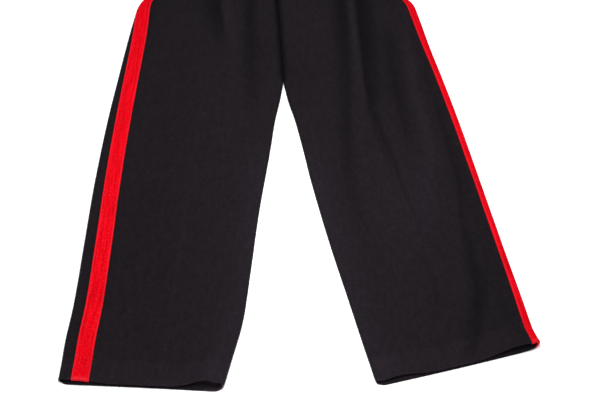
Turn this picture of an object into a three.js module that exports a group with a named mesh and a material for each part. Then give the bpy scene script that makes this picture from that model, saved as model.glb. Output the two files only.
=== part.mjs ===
// Black wool uniform trousers with scarlet side stripes, laid flat on the floor, front up.
// Millimetres, +Z up from the floor, +Y from the hems to the waist. The wearer's right
// leg lies at -X. Each panel is a wall of cloth through sections that run across the
// garment: along the floor, round the outer fold, back over the top and down to the inner
// fold (on a leg) or the centre seams (above the crotch).
import * as THREE from 'three';

// Cloth and gaps
const CLOTH = 1.5;
const SEAM_GAP = 0.3;
const REST_GAP = 0.5; // air between two layers that lie on each other
const HEM = { depth: 46, step: 6, wall: 2.6 }; // turned-up hem, twice the cloth

// Waistband, fly and stripes
const BAND = { seam: 262, top: 300, wall: 3, overlap: 2, underlap: 33 };
const LAP = { height: 3.4, from: 190, flat: 40, run: 40 }; // left over right at the fly
const BACK_RISE = { height: 12, from: 80, run: 180 }; // the back's waist is higher
const FLY = { bottom: 72, width: 34, tuck: 6 };
const STRIPE = { width: 25.4, wall: 0.9, gap: 0.3, steps: 8 };
const BUTTON = { across: 17, thick: 3, bevel: 0.6, hole: 1.9, holeSpread: 2.6, x: 17 };

// The crotch point's place: it puts the middle of the garment's box at the origin.
const CROTCH = { x: 4.5, y: 204 };

// How the centre front rolls into its groove, and how the centre back rolls at the crotch
const CENTRE = { frontFlatFrom: 232, backFlatAt: 42 };
const EDGE_WINDOW = 16; // folds fade out this close to a rolled edge
const HEM_BOW_REACH = 120; // how far up the leg the hem's bow carries
const LIFT_RUN = 30; // how far in from the outer fold its underside is lifted

// Each leg's outline: x is the distance from the centre line, y from the crotch. The hem
// runs from its inner to its outer y and bows out between them.
// Heights: the rolls' radii, how far each roll's height carries inwards, and the level of
// the cloth between them. Seams: the distance round the cloth from the outer fold up to
// the outseam, and from the inner fold under to the inseam.
const RIGHT_LEG = {
  name: 'right',
  sign: -1,
  hem: { inner: -719, outer: -693, bow: 2.5 },
  outline: {
    outer: [
      { y: -693, x: 353.5 }, { y: -610, x: 346.5 }, { y: -530, x: 337.5 }, { y: -395, x: 327.5 },
      { y: -250, x: 317.5 }, { y: -90, x: 302.5 }, { y: 22, x: 289 }, { y: 112, x: 278 },
      { y: 203, x: 265.5 }, { y: 248, x: 256 }, { y: 271, x: 245 }, { y: 300, x: 235 },
    ],
    inner: [
      { y: -719, x: 118.5 }, { y: -660, x: 104.5 }, { y: -584, x: 87 }, { y: -480, x: 72.5 },
      { y: -340, x: 54 }, { y: -188, x: 30.5 }, { y: -107, x: 19 }, { y: -50, x: 8 }, { y: 0, x: 0.15 },
    ],
  },
  heights: [
    { y: -719, innerRoll: 7.5, outerRoll: 4.2, innerRun: 50, outerRun: 45, level: 5.8 },
    { y: -600, innerRoll: 6, outerRoll: 4.6, innerRun: 50, outerRun: 45, level: 4.8 },
    { y: -400, innerRoll: 4.6, outerRoll: 4.6, innerRun: 55, outerRun: 50, level: 4.6 },
    { y: -200, innerRoll: 4.6, outerRoll: 5, innerRun: 60, outerRun: 60, level: 5.6 },
    { y: -60, innerRoll: 5.5, outerRoll: 5.5, innerRun: 60, outerRun: 70, level: 8.2 },
    { y: 0, innerRoll: 6, outerRoll: 6, innerRun: 50, outerRun: 70, level: 9.4 },
    { y: 120, innerRoll: 6, outerRoll: 6.5, innerRun: 50, outerRun: 70, level: 11 },
    { y: 262, innerRoll: 6, outerRoll: 7, innerRun: 50, outerRun: 70, level: 12 },
    { y: 300, innerRoll: 6, outerRoll: 7, innerRun: 50, outerRun: 70, level: 12 },
  ],
  outerLift: 0,
  seams: [
    { y: -719, outseam: 34, inseam: 32 }, { y: -400, outseam: 33, inseam: 20 },
    { y: -180, outseam: 31, inseam: 8 }, { y: 0, outseam: 28, inseam: 0 },
    { y: 168, outseam: 22.5, inseam: 0 }, { y: 262, outseam: 12, inseam: 0 },
    { y: 300, outseam: 10, inseam: 0 },
  ],
  // Where the leg's mouth stands open: from which fold, its crest and half-width across,
  // its lift, and how far up the leg it runs.
  mouths: [
    { from: 'inner', crest: 40, half: 26, lift: 8, reach: 190 },
    { from: 'outer', crest: 40, half: 22, lift: 3.5, reach: 120 },
  ],
  folds: [
    // short fold out of the waist
    [
      { y: 95, x: 97, depth: 0, width: 11 }, { y: 163, x: 105, depth: 2.2, width: 11 },
      { y: 225, x: 109, depth: 3.6, width: 11 }, { y: 285, x: 110, depth: 0, width: 11 },
    ],
    // ridge and trough beside the fly
    [
      { y: 40, x: 74, depth: 0, width: 11 }, { y: 110, x: 76, depth: -1.6, width: 11 },
      { y: 245, x: 80, depth: -1.6, width: 11 }, { y: 285, x: 80, depth: 0, width: 11 },
    ],
    [
      { y: -120, x: 60, depth: 0, width: 12 }, { y: -40, x: 58, depth: 1.6, width: 12 },
      { y: 97, x: 55, depth: 3, width: 12 }, { y: 241, x: 50, depth: 2, width: 12 },
      { y: 285, x: 50, depth: 0, width: 12 },
    ],
  ],
};

const LEFT_LEG = {
  name: 'left',
  sign: 1,
  hem: { inner: -720, outer: -654, bow: 6 },
  outline: {
    outer: [
      { y: -654, x: 339.5 }, { y: -627, x: 333 }, { y: -564, x: 328 }, { y: -430, x: 315 },
      { y: -284, x: 303 }, { y: -124, x: 288.5 }, { y: -9, x: 276 }, { y: 82, x: 266 },
      { y: 175, x: 257 }, { y: 220, x: 251 }, { y: 245, x: 239 }, { y: 300, x: 224 },
    ],
    inner: [
      { y: -720, x: 99 }, { y: -634, x: 85 }, { y: -550, x: 72 }, { y: -415, x: 51 },
      { y: -269, x: 32 }, { y: -191, x: 24 }, { y: -109, x: 14.5 }, { y: -50, x: 5 }, { y: 0, x: 0.15 },
    ],
  },
  heights: [
    { y: -720, innerRoll: 4.2, outerRoll: 6, innerRun: 50, outerRun: 80, level: 5.8 },
    { y: -600, innerRoll: 4.4, outerRoll: 6, innerRun: 50, outerRun: 95, level: 5 },
    { y: -400, innerRoll: 4.8, outerRoll: 6, innerRun: 60, outerRun: 90, level: 5.2 },
    { y: -200, innerRoll: 5, outerRoll: 6, innerRun: 70, outerRun: 80, level: 6.4 },
    { y: -60, innerRoll: 5.6, outerRoll: 6.2, innerRun: 60, outerRun: 80, level: 8.8 },
    { y: 0, innerRoll: 6, outerRoll: 6.5, innerRun: 50, outerRun: 80, level: 10 },
    { y: 120, innerRoll: 6, outerRoll: 6.5, innerRun: 50, outerRun: 70, level: 11.5 },
    { y: 262, innerRoll: 6, outerRoll: 7, innerRun: 50, outerRun: 70, level: 12 },
    { y: 300, innerRoll: 6, outerRoll: 7, innerRun: 50, outerRun: 70, level: 12 },
  ],
  outerLift: 1.5, // the stripe passes under this edge
  seams: [
    { y: -720, outseam: 0, inseam: 0 }, { y: -400, outseam: 1, inseam: 0 },
    { y: 0, outseam: 1, inseam: 0 }, { y: 175, outseam: 4, inseam: 0 },
    { y: 300, outseam: 6, inseam: 0 },
  ],
  mouths: [
    { from: 'inner', crest: 42, half: 26, lift: 3.5, reach: 120 },
    { from: 'outer', crest: 40, half: 24, lift: 6, reach: 130 },
  ],
  folds: [
    // deep fold from the waist down the thigh, thinning to a crease at the knee
    [
      { y: -409, x: 197, depth: 0, width: 7 }, { y: -279, x: 176, depth: 1.2, width: 7 },
      { y: -193, x: 163, depth: 1.6, width: 7 }, { y: -99, x: 149, depth: 3, width: 8 },
      { y: -34, x: 149, depth: 5, width: 9 }, { y: 86, x: 152, depth: 5.6, width: 10 },
      { y: 240, x: 154, depth: 4.6, width: 10 }, { y: 285, x: 154, depth: 0, width: 10 },
    ],
    // softer trough beside it, nearer the centre
    [
      { y: -473, x: 110, depth: 0, width: 10 }, { y: -325, x: 102, depth: 1.3, width: 10 },
      { y: -242, x: 98, depth: 1.7, width: 11 }, { y: 36, x: 111, depth: 3, width: 12 },
      { y: 240, x: 117, depth: 2.8, width: 11 }, { y: 285, x: 117, depth: 0, width: 11 },
    ],
    // soft trough on the outer thigh
    [
      { y: -215, x: 198, depth: 0, width: 12 }, { y: -150, x: 200, depth: 1.6, width: 12 },
      { y: -65, x: 198, depth: 2.2, width: 13 }, { y: 110, x: 202, depth: 2.2, width: 14 },
      { y: 190, x: 205, depth: 0, width: 14 },
    ],
    // crease beside the outer fold that opens into a wide trough on the lower leg
    [
      { y: -700, x: 238, depth: 0, width: 13 }, { y: -671, x: 242, depth: 1.8, width: 13 },
      { y: -619, x: 255, depth: 2.8, width: 13 }, { y: -545, x: 272, depth: 4, width: 14 },
      { y: -475, x: 268, depth: 3.4, width: 13 }, { y: -382, x: 265, depth: 1.6, width: 9 },
      { y: -292, x: 271, depth: 1.2, width: 7 }, { y: -180, x: 265, depth: 1.2, width: 7 },
      { y: -40, x: 253, depth: 0, width: 7 },
    ],
  ],
};

const LEGS = [RIGHT_LEG, LEFT_LEG];

// Where the sections lie, by y at the inner fold; the hem's own rows are added per leg
const LEG_ROWS = [-630, -580, -525, -465, -405, -345, -285, -225, -165, -110, -60, -28, 0];
const BODY_ROWS = [14, 42, 85, 130, 180, 232, 250];
const HEM_ROWS = [0, 14, HEM.depth, HEM.depth + HEM.step];

// Columns near the seams, as distances round the cloth from the seam
const OUTSEAM_COLUMNS = [SEAM_GAP / 2, 3.5, 7, 10.5, 14, 20, 28, 38];
const INSEAM_COLUMNS = [SEAM_GAP / 2, 4.5, 9, 14, 20, 26, 32, 40];
const FRONT_MIDDLE_COLUMNS = 16;
const BACK_MIDDLE_COLUMNS = 5;
const BAND_MIDDLE_COLUMNS = 36;

// Materials
const WOOL = new THREE.MeshStandardMaterial({ color: 0x231e23, roughness: 0.95 });
const BRAID = new THREE.MeshStandardMaterial({ color: 0xe7091d, roughness: 0.9 });
const HORN = new THREE.MeshStandardMaterial({ color: 0x1a1718, roughness: 0.45 });

// ---------------------------------------------------------------- curves

// Value of a table's column at y, along a smooth curve through its rows
function along(rows, column, y) {
  const last = rows.length - 1;
  if (y <= rows[0].y) return rows[0][column];
  if (y >= rows[last].y) return rows[last][column];
  let i = 0;
  while (y > rows[i + 1].y) i += 1;
  const slope = (a, b) => (rows[b][column] - rows[a][column]) / (rows[b].y - rows[a].y);
  const tangent = (k) => slope(Math.max(k - 1, 0), Math.min(k + 1, last));
  const span = rows[i + 1].y - rows[i].y;
  const t = (y - rows[i].y) / span;
  const [t2, t3] = [t * t, t * t * t];
  return (2 * t3 - 3 * t2 + 1) * rows[i][column] + (t3 - 2 * t2 + t) * span * tangent(i)
    + (3 * t2 - 2 * t3) * rows[i + 1][column] + (t3 - t2) * span * tangent(i + 1);
}

// 0 to 1 with level ends
function rise(t) {
  const s = THREE.MathUtils.clamp(t, 0, 1);
  return s * s * (3 - 2 * s);
}

const fade = (t) => 1 - rise(t);

const bell = (distance, width) => Math.exp(-((distance / width) ** 2));

// A strip of cloth that leaves the level and turns evenly through an angle: its points as
// run and height from where it starts
function curl(length, angle, steps) {
  const points = [{ run: 0, height: 0 }];
  for (let i = 0; i < steps; i += 1) {
    const heading = (angle * (i + 0.5)) / steps;
    const { run, height } = points[i];
    const step = length / steps;
    points.push({ run: run + step * Math.cos(heading), height: height + step * Math.sin(heading) });
  }
  return points;
}

// ---------------------------------------------------------------- sections

// What a section across one half of the garment needs: its ends, heights and seams
function sectionSizes(leg, y) {
  const outerY = y < 0 ? (y * leg.hem.outer) / leg.hem.inner : y;
  const inner = new THREE.Vector2(along(leg.outline.inner, 'x', y), y);
  const outer = new THREE.Vector2(along(leg.outline.outer, 'x', outerY), outerY);
  const height = (column) => along(leg.heights, column, y);
  const fromHem = y - leg.hem.inner;
  const wall = y > BAND.seam
    ? BAND.wall
    : THREE.MathUtils.lerp(HEM.wall, CLOTH, rise((fromHem - HEM.depth) / HEM.step));
  const innerRoll = height('innerRoll');
  const turn = Math.PI / 2;
  return {
    leg, y, inner, outer, wall, fromHem, innerRoll,
    width: inner.distanceTo(outer),
    outerRoll: height('outerRoll'),
    innerRun: height('innerRun'),
    outerRun: height('outerRun'),
    level: height('level'),
    frontTurn: turn * fade((y - CENTRE.frontFlatFrom) / (BAND.seam - CENTRE.frontFlatFrom)),
    backTurn: turn * fade(y / CENTRE.backFlatAt),
    curlLength: innerRoll * turn,
    outseam: along(leg.seams, 'outseam', y),
    inseam: along(leg.seams, 'inseam', y),
  };
}

// The point of the row's line at a distance from its inner end
function onRow(row, distance) {
  const point = row.inner.clone().lerp(row.outer, distance / row.width);
  const across = THREE.MathUtils.clamp(distance / row.width, 0, 1);
  point.y -= row.leg.hem.bow * Math.sin(Math.PI * across) * fade(row.fromHem / HEM_BOW_REACH);
  return point;
}

// Height of the upper layer's outside
function topHeight(row, distance, innerEdge) {
  const outerEdge = row.width - row.outerRoll;
  const outerTop = row.leg.outerLift + 2 * row.outerRoll;
  const innerTop = 2 * row.innerRoll;
  const window = rise((distance - innerEdge) / EDGE_WINDOW) * rise((outerEdge - distance) / EDGE_WINDOW);
  let z = row.level
    + (outerTop - row.level) * fade((outerEdge - distance) / row.outerRun)
    + (innerTop - row.level) * fade((distance - innerEdge) / row.innerRun);
  for (const mouth of row.leg.mouths) {
    const place = mouth.from === 'inner' ? distance : row.width - distance;
    z += window * mouth.lift * bell(place - mouth.crest, mouth.half) * fade(row.fromHem / mouth.reach);
  }
  const { x, y } = onRow(row, distance);
  for (const fold of row.leg.folds) {
    const outside = y < fold[0].y || y > fold[fold.length - 1].y;
    const depth = outside ? 0 : along(fold, 'depth', y);
    z -= window * depth * bell(x - along(fold, 'x', y), along(fold, 'width', y));
  }
  return Math.max(z, 2 * row.wall + REST_GAP) + flyLap(row, distance);
}

// The wearer's left half climbs over the right at the fly and the waistband's end
function flyLap(row, distance) {
  if (row.leg.sign < 0) return 0;
  const near = fade((distance - LAP.flat) / LAP.run);
  return LAP.height * near * rise((row.y - LAP.from) / (BAND.seam - LAP.from));
}

// The outside of the cloth across one half, from the inner end of the lower layer round
// the outer fold to the inner end of the upper layer
function section(leg, y, extra = 0) {
  const row = sectionSizes(leg, y);
  const points = [];
  const add = (distance, z, layer) => points.push({ distance, z, layer });

  const backCurl = curl(row.curlLength, row.backTurn, 10);
  const backEdge = backCurl[backCurl.length - 1].run;
  for (const { run, height } of backCurl.toReversed()) add(backEdge - run, height, -1);

  const outerEdge = row.width - row.outerRoll;
  const floorSteps = 60;
  for (let i = 1; i < floorSteps; i += 1) {
    const distance = THREE.MathUtils.lerp(backEdge, outerEdge, i / floorSteps);
    add(distance, leg.outerLift * fade((outerEdge - distance) / LIFT_RUN), -1);
  }

  const rollSteps = 24;
  for (let i = 0; i <= rollSteps; i += 1) {
    const angle = (Math.PI * i) / rollSteps;
    const z = leg.outerLift + row.outerRoll * (1 - Math.cos(angle));
    add(outerEdge + row.outerRoll * Math.sin(angle), z, i < rollSteps / 2 ? -1 : 1);
  }
  const outerIndex = points.length - 1 - rollSteps / 2;

  const frontCurl = curl(row.curlLength, row.frontTurn, 10);
  const frontEdge = frontCurl[frontCurl.length - 1].run;
  const topSteps = 120;
  for (let i = 1; i <= topSteps; i += 1) {
    const distance = THREE.MathUtils.lerp(outerEdge, frontEdge, i / topSteps);
    add(distance, topHeight(row, distance, frontEdge), 1);
  }
  const crown = points[points.length - 1].z;
  for (const { run, height } of frontCurl.slice(1)) add(frontEdge - run, crown - height, 1);
  if (extra > 0) add(-extra, crown, 1);

  const arc = [0];
  for (let i = 1; i < points.length; i += 1) {
    const [a, b] = [points[i - 1], points[i]];
    arc.push(arc[i - 1] + Math.hypot(b.distance - a.distance, b.z - a.z));
  }
  const normals = points.map((_, i) => {
    const [a, b] = [points[Math.max(i - 1, 0)], points[Math.min(i + 1, points.length - 1)]];
    return new THREE.Vector2(b.z - a.z, a.distance - b.distance).normalize();
  });
  normals[0].set(-Math.sin(row.backTurn), -Math.cos(row.backTurn));
  if (extra === 0) normals[normals.length - 1].set(-Math.sin(row.frontTurn), Math.cos(row.frontTurn));
  return {
    row, points, arc, normals,
    length: arc[arc.length - 1],
    outseam: arc[outerIndex] + row.outseam,
    inseam: row.inseam,
  };
}

// A point of the section at a distance round the cloth, moved out along its normal
function onSection(cut, place, out = 0) {
  const { row, points, arc, normals } = cut;
  const s = place > cut.length && row.y <= 0 ? place - cut.length : place;
  let i = 1;
  while (i < arc.length - 1 && arc[i] < s) i += 1;
  const [a, b] = [points[i - 1], points[i]];
  const t = THREE.MathUtils.clamp((s - arc[i - 1]) / (arc[i] - arc[i - 1]), 0, 1);
  const normal = normals[i - 1].clone().lerp(normals[i], t).normalize();
  const distance = THREE.MathUtils.lerp(a.distance, b.distance, t) + out * normal.x;
  const z = THREE.MathUtils.lerp(a.z, b.z, t) + out * normal.y;
  const { x, y } = onRow(row, distance);
  const higher = BACK_RISE.height * rise((row.y - BACK_RISE.from) / BACK_RISE.run);
  const raised = a.layer < 0 ? higher * (1 - distance / row.width) : 0;
  return new THREE.Vector3(row.leg.sign * x + CROTCH.x, y + raised + CROTCH.y, z);
}

// ---------------------------------------------------------------- solids

// A closed wall between an outer and an inner grid of points
function wallGeometry(outerGrid, innerGrid) {
  const rows = outerGrid.length;
  const columns = outerGrid[0].length;
  const points = [...outerGrid.flat(), ...innerGrid.flat()];
  const index = [];
  const quad = (a, b, c, d) => index.push(a, b, c, a, c, d);
  const outer = (i, j) => i * columns + j;
  const inner = (i, j) => rows * columns + outer(i, j);
  for (let i = 0; i < rows - 1; i += 1) {
    for (let j = 0; j < columns - 1; j += 1) {
      quad(outer(i, j), outer(i, j + 1), outer(i + 1, j + 1), outer(i + 1, j));
      quad(inner(i, j), inner(i + 1, j), inner(i + 1, j + 1), inner(i, j + 1));
    }
  }
  for (let j = 0; j < columns - 1; j += 1) {
    quad(outer(0, j), inner(0, j), inner(0, j + 1), outer(0, j + 1));
    quad(outer(rows - 1, j), outer(rows - 1, j + 1), inner(rows - 1, j + 1), inner(rows - 1, j));
  }
  for (let i = 0; i < rows - 1; i += 1) {
    quad(outer(i, 0), outer(i + 1, 0), inner(i + 1, 0), inner(i, 0));
    quad(outer(i, columns - 1), inner(i, columns - 1), inner(i + 1, columns - 1), outer(i + 1, columns - 1));
  }
  const geometry = new THREE.BufferGeometry().setFromPoints(points);
  geometry.setIndex(signedVolume(points, index) < 0 ? index.toReversed() : index);
  return geometry;
}

function signedVolume(points, index) {
  let volume = 0;
  for (let i = 0; i < index.length; i += 3) {
    const [a, b, c] = [points[index[i]], points[index[i + 1]], points[index[i + 2]]];
    volume += a.dot(b.clone().cross(c)) / 6;
  }
  return volume;
}

// A wall through sections, at the places round the cloth that a function gives
function wallThrough(cuts, placesOf, outside, inside) {
  const grid = (out) => cuts.map((cut) => placesOf(cut).map((place) => onSection(cut, place, out(cut))));
  return wallGeometry(grid(outside), grid(inside));
}

// Distances along a panel from one seam to the other, close together near both
function panelColumns(length, middle) {
  const near = OUTSEAM_COLUMNS;
  const far = INSEAM_COLUMNS.map((distance) => length - distance).toReversed();
  const [from, to] = [near[near.length - 1], far[0]];
  const between = Array.from({ length: middle - 1 }, (_, i) => from + ((to - from) * (i + 1)) / middle);
  return [...near, ...between, ...far];
}

function panelRows(leg) {
  const hem = HEM_ROWS.map((distance) => leg.hem.inner + distance);
  return [...hem, ...LEG_ROWS, ...BODY_ROWS, BAND.seam - SEAM_GAP / 2];
}

function named(name, geometry, material) {
  geometry.computeVertexNormals();
  const mesh = new THREE.Mesh(geometry, material);
  mesh.name = name;
  return mesh;
}

const flush = () => 0;
const wallInside = (cut) => -cut.row.wall;

function frontPanel(leg, cuts) {
  const places = (cut) => {
    const length = cut.length + cut.inseam - cut.outseam;
    return panelColumns(length, FRONT_MIDDLE_COLUMNS).map((distance) => cut.outseam + distance);
  };
  return named(`front_${leg.name}`, wallThrough(cuts, places, flush, wallInside), WOOL);
}

function backPanel(leg, cuts) {
  const places = (cut) => {
    const length = cut.outseam - cut.inseam;
    return panelColumns(length, BACK_MIDDLE_COLUMNS).map((distance) => cut.outseam - distance);
  };
  return named(`back_${leg.name}`, wallThrough(cuts, places, flush, wallInside), WOOL);
}

function sideStripe(leg, cuts) {
  const places = (cut) => Array.from(
    { length: STRIPE.steps + 1 },
    (_, i) => cut.outseam + STRIPE.width * (i / STRIPE.steps - 0.5),
  );
  const outside = () => STRIPE.gap + STRIPE.wall;
  const inside = () => STRIPE.gap;
  return named(`side_stripe_${leg.name}`, wallThrough(cuts, places, outside, inside), BRAID);
}

function waistband(leg) {
  const reach = leg.sign < 0 ? BAND.underlap : BAND.overlap;
  const rows = [BAND.seam + SEAM_GAP / 2, (BAND.seam + BAND.top) / 2, BAND.top];
  const cuts = rows.map((y) => section(leg, y, reach));
  const places = (cut) => panelColumns(cut.length, BAND_MIDDLE_COLUMNS)
    .map((distance) => cut.length - distance);
  return named(`waistband_${leg.name}`, wallThrough(cuts, places, flush, wallInside), WOOL);
}

// The strip behind the fly's edges that carries its fastening
function flyUnderlap() {
  const rows = [FLY.bottom, 110, 150, 190, CENTRE.frontFlatFrom, 247, BAND.seam - SEAM_GAP / 2];
  const columns = [-FLY.tuck, FLY.width / 4, FLY.width / 2, FLY.width];
  const layer = (drop) => rows.map((y) => {
    const row = sectionSizes(RIGHT_LEG, y);
    const edge = curl(row.curlLength, row.frontTurn, 10).pop().height;
    const under = 2 * row.innerRoll - edge - CLOTH * Math.cos(row.frontTurn) - SEAM_GAP;
    return columns.map((x) => new THREE.Vector3(x + CROTCH.x, y + CROTCH.y, under - drop));
  });
  return named('fly_underlap', wallGeometry(layer(0), layer(CLOTH)), WOOL);
}

function waistButton() {
  const radius = BUTTON.across / 2 - BUTTON.bevel;
  const disc = new THREE.Shape().absarc(0, 0, radius, 0, 2 * Math.PI);
  for (const [x, y] of [[-1, -1], [1, -1], [1, 1], [-1, 1]]) {
    const spread = BUTTON.holeSpread / 2;
    disc.holes.push(new THREE.Path().absarc(x * spread, y * spread, BUTTON.hole / 2, 0, 2 * Math.PI, true));
  }
  const geometry = new THREE.ExtrudeGeometry(disc, {
    depth: BUTTON.thick - 2 * BUTTON.bevel,
    bevelThickness: BUTTON.bevel,
    bevelSize: BUTTON.bevel,
    bevelSegments: 1,
    curveSegments: 6,
  });
  const button = named('waist_button', geometry, HORN);
  const bandTop = 2 * sectionSizes(LEFT_LEG, BAND.top).innerRoll + LAP.height;
  button.position.set(
    BUTTON.x + CROTCH.x,
    (BAND.seam + BAND.top) / 2 + CROTCH.y,
    bandTop + SEAM_GAP + BUTTON.bevel,
  );
  return button;
}

// ---------------------------------------------------------------- the trousers

const trousers = new THREE.Group();
for (const leg of LEGS) {
  const cuts = panelRows(leg).map((y) => section(leg, y));
  trousers.add(frontPanel(leg, cuts), backPanel(leg, cuts), sideStripe(leg, cuts), waistband(leg));
}
trousers.add(flyUnderlap(), waistButton());

export default trousers;
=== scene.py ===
"""Black wool uniform trousers with scarlet side stripes, laid flat, front up.

Lengths in the tables are millimetres in the garment's own place: x from the centre line,
y up from the crotch. Every piece is a closed wall of cloth through sections that run
across one leg: along the floor, round the outer fold, back over the top and down to the
inner fold or, above the crotch, to the centre seams.
"""
import math
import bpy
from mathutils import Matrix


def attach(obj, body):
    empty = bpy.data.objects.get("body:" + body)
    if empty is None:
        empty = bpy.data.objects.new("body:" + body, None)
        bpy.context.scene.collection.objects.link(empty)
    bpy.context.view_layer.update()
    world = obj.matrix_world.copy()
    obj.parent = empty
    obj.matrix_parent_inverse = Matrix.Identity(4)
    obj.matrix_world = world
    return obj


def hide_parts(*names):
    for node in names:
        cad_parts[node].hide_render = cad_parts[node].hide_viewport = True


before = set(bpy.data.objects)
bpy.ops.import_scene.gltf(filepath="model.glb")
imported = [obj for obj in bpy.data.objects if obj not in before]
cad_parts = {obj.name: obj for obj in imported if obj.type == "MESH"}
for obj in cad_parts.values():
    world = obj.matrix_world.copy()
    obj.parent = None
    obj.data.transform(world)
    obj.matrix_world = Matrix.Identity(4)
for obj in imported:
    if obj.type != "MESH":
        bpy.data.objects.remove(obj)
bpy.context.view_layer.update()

from types import SimpleNamespace

import bpy
import numpy as np

MM = 0.001

# Cloth and gaps
CLOTH = 1.5
SEAM_GAP = 0.3
REST_GAP = 0.5  # air between two layers that lie on each other
SEAM_DIP = SimpleNamespace(depth=0.35, half=1.1)  # a pressed seam sinks a little

# Hem: turned up inside, so twice the cloth. Its corners are rounded, its edge bows, its upper
# layer lies back from the lower one, and the turned depth stands out as a low ridge.
HEM = SimpleNamespace(
    depth=46, step=6, wall=2.6, corner=5, bow_reach=120, back=0.8, back_reach=70,
    ridge=0.35, ridge_top=43, ridge_run=8,
)
BLIND_STITCH = SimpleNamespace(pitch=8, up=45, depth=0.3, half_length=1.3, half_height=1.8)

# Waistband, fly, stripes and button
BAND = SimpleNamespace(seam=262, top=300, wall=3, overlap=2, underlap=33)
LAP = SimpleNamespace(height=3.4, start=190, flat=40, run=40)  # left over right at the fly
BACK_RISE = SimpleNamespace(height=12, start=80, run=180)  # the back's waist is higher
FLY = SimpleNamespace(bottom=72, width=34, tuck=6)
STRIPE = SimpleNamespace(wall=0.9, gap=0.3)
BUTTONHOLE = SimpleNamespace(x=17, half_length=12.5, half_width=2.2, slit=0.25, pitch=0.62, out=0.15)

CROTCH = (4.5, 204)  # the crotch point's place in the row frame
# The centre seams' rolled edges open flat: the front's near the waist, the back's at the seat
CENTRE = SimpleNamespace(front_flat_from=232, back_flat_at=42)
EDGE_WINDOW = 16  # folds fade out this close to a rolled edge
EDGE_RUN = 14  # what only the upper layer does grows over this run from the outer fold
LIFT_RUN = 30  # a raised edge comes down to the floor over this run
SOFT_BEND = 0.5  # how softly the upper layer settles on the lower one

# Low waves left in the cloth, each with its height, size and seed, up to the waistband
WAVES = ((0.5, 58, 11), (0.16, 21, 12))
WAVES_END = SimpleNamespace(y=225, run=30)

# Steps of a section: round a seam's rolled edge, along the floor, round the outer fold, over the top
STEPS = SimpleNamespace(curl=10, floor=60, fold=24, top=240)

# Painted light and shade, in doublings of the cloth's tone, each with its place and size in mm
PAINTED_SHADING = SimpleNamespace(
    fold=0.19, ridge_most=2, hollow_most=7,  # painted shade in the folds' hollows, painted light on ridges, for each mm that a fold drops
    painted_lighter=0.4, lighter_half=34, lighter_from=-280, lighter_run=180,  # painted light along the lower legs' inner edges
    # painted light along the hem
    hem=0.25, hem_top=40, hem_run=12,
    shade=0.3, shade_at=26, shade_half=16,  # painted shade beside the outer fold
    edge=0.75, edge_half=1.3, edge_inside=0.7, edge_inside_half=3,  # painted highlight on the hem's turned edge, painted shade on the lower layer just inside it
    centre=1.9, centre_half=6, centre_from=-10, centre_run=20,  # painted shade in the groove of the centre seams
)
# The wrong side has no nap and is paler, and is painted paler still as painted light in the shaded mouths of
# the hems; least near the hem's edge
WRONG_SIDE = SimpleNamespace(least=0.75, more=1.65, start=6, run=10)


def table(columns, *rows):
    """A short table with named columns, a row for each place along the leg."""
    return dict(zip(columns.split(), np.array(rows, dtype=float).T))


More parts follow.
